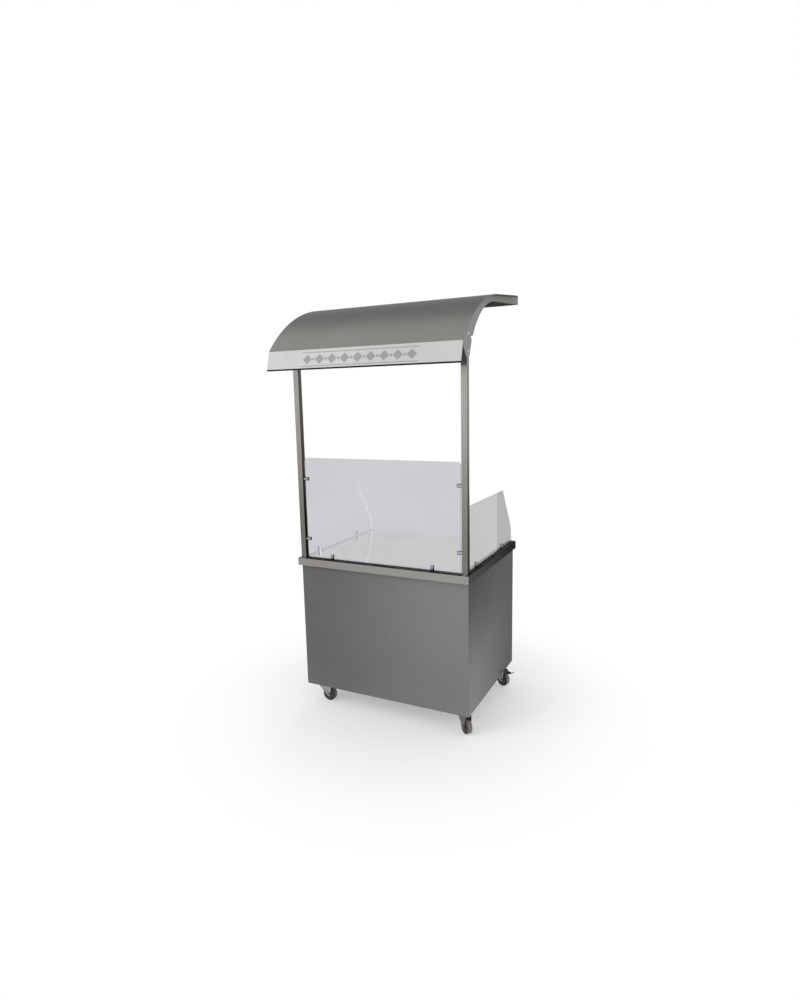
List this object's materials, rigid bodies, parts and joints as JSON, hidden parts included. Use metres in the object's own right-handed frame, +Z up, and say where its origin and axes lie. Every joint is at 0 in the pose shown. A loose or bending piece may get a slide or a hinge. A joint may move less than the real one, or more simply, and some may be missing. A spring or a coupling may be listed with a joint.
{
  "type": "shawarma cart",
  "caption": "Wheeled serving cart: steel cabinet with rear doors, folded worktop with glass screens, two posts and an arched canopy, on swivel casters.",
  "frame": {"origin": "on the floor under the middle of the bounding box", "axes": "+Z up, -Y towards the customers (front glass and fascia), +Y towards the cook and the doors, +X to the right seen from the front"},
  "size_m": [1.0902, 0.9986, 2.2681],
  "materials": {
    "brushed_steel": "brushed, long grain",
    "panel_steel": "grey coated sheet, satin",
    "roof_steel": "grey coated sheet, satin",
    "fascia_steel": "pale brushed sheet",
    "frame_steel": "satin coat on welded tube",
    "glass": "clear toughened glass",
    "chrome": "polished",
    "zinc": "bright zinc plated, pressed",
    "seal_rubber": "matt black",
    "pad_rubber": "translucent grey rubber pads",
    "wheel_plastic": "moulded, dark grey",
    "tyre_rubber": "grey solid rubber, dusty tread"
  },
  "bodies": {
    "cart": {"uprights": "frame_steel", "side_rails": "frame_steel", "cross_rails": "frame_steel", "rear_header": "frame_steel", "corner_gussets": "frame_steel", "floor_panel": "brushed_steel", "middle_shelf": "brushed_steel", "shelf_brackets": "frame_steel", "front_panel": "panel_steel", "right_side_panel": "panel_steel", "left_side_panel": "panel_steel", "worktop": "brushed_steel", "post_spigots": "brushed_steel", "worktop_stiffeners": "frame_steel", "door_catches": "wheel_plastic", "fixed_hinge_leaves": "zinc", "left_post": "brushed_steel", "right_post": "brushed_steel", "front_crossbar": "brushed_steel", "roof_sheet": "roof_steel", "fascia": "fascia_steel", "left_rib": "roof_steel", "right_rib": "roof_steel", "rib_bolts": "zinc", "rear_crossbar": "brushed_steel", "front_glass": "glass", "left_glass": "glass", "right_glass": "glass", "glass_clamps": "chrome", "clamp_pads": "pad_rubber", "rim_seals": "seal_rubber", "caster_plates": "zinc"},
    "left_door_leaf": {"left_door": "panel_steel", "left_door_hinge_leaves": "zinc", "left_handle": "chrome"},
    "right_door_leaf": {"right_door": "panel_steel", "right_door_hinge_leaves": "zinc", "right_handle": "chrome"},
    "front_left_swivel": {"front_left_fork": "zinc"},
    "front_left_wheel": {"front_left_caster_wheel": "tyre_rubber"},
    "front_right_swivel": {"front_right_fork": "zinc"},
    "front_right_wheel": {"front_right_caster_wheel": "tyre_rubber"},
    "rear_left_swivel": {"rear_left_fork": "zinc"},
    "rear_left_wheel": {"rear_left_caster_wheel": "tyre_rubber"},
    "rear_left_pedal": {"rear_left_brake_pedal": "zinc"},
    "rear_right_swivel": {"rear_right_fork": "zinc"},
    "rear_right_wheel": {"rear_right_caster_wheel": "tyre_rubber"},
    "rear_right_pedal": {"rear_right_brake_pedal": "zinc"}
  },
  "joints": [
    {"name": "left_door_hinge", "type": "hinge", "parent": "cart", "child": "left_door_leaf", "pos_m": [-0.459, 0.44463, 0.462], "axis": [0, 0, 1], "range_deg": [0, 110]},
    {"name": "right_door_hinge", "type": "hinge", "parent": "cart", "child": "right_door_leaf", "pos_m": [0.459, 0.44463, 0.462], "axis": [0, 0, 1], "range_deg": [-110, 0]},
    {"name": "front_left_swivel_turn", "type": "hinge", "parent": "cart", "child": "front_left_swivel", "pos_m": [-0.43, -0.25267, 0.097], "axis": [0, 0, 1], "continuous": true},
    {"name": "front_left_wheel_spin", "type": "hinge", "parent": "front_left_swivel", "child": "front_left_wheel", "pos_m": [-0.38411, -0.25588, 0.04], "axis": [0.0698, 0.9976, 0], "continuous": true},
    {"name": "front_right_swivel_turn", "type": "hinge", "parent": "cart", "child": "front_right_swivel", "pos_m": [0.43, -0.25267, 0.097], "axis": [0, 0, 1], "continuous": true},
    {"name": "front_right_wheel_spin", "type": "hinge", "parent": "front_right_swivel", "child": "front_right_wheel", "pos_m": [0.46364, -0.28404, 0.04], "axis": [0.682, 0.7314, 0], "continuous": true},
    {"name": "rear_left_swivel_turn", "type": "hinge", "parent": "cart", "child": "rear_left_swivel", "pos_m": [-0.43, 0.34033, 0.097], "axis": [0, 0, 1], "continuous": true},
    {"name": "rear_left_wheel_spin", "type": "hinge", "parent": "rear_left_swivel", "child": "rear_left_wheel", "pos_m": [-0.47169, 0.32089, 0.04], "axis": [0.4226, -0.9063, 0], "continuous": true},
    {"name": "rear_left_brake_press", "type": "hinge", "parent": "rear_left_swivel", "child": "rear_left_pedal", "pos_m": [-0.48257, 0.31582, 0.092], "axis": [0.4226, -0.9063, 0], "range_deg": [0, 12]},
    {"name": "rear_right_swivel_turn", "type": "hinge", "parent": "cart", "child": "rear_right_swivel", "pos_m": [0.43, 0.34033, 0.097], "axis": [0, 0, 1], "continuous": true},
    {"name": "rear_right_wheel_spin", "type": "hinge", "parent": "rear_right_swivel", "child": "rear_right_wheel", "pos_m": [0.47169, 0.32089, 0.04], "axis": [0.4226, 0.9063, 0], "continuous": true},
    {"name": "rear_right_brake_press", "type": "hinge", "parent": "rear_right_swivel", "child": "rear_right_pedal", "pos_m": [0.48257, 0.31582, 0.092], "axis": [0.4226, 0.9063, 0], "range_deg": [0, 12]}
  ]
}
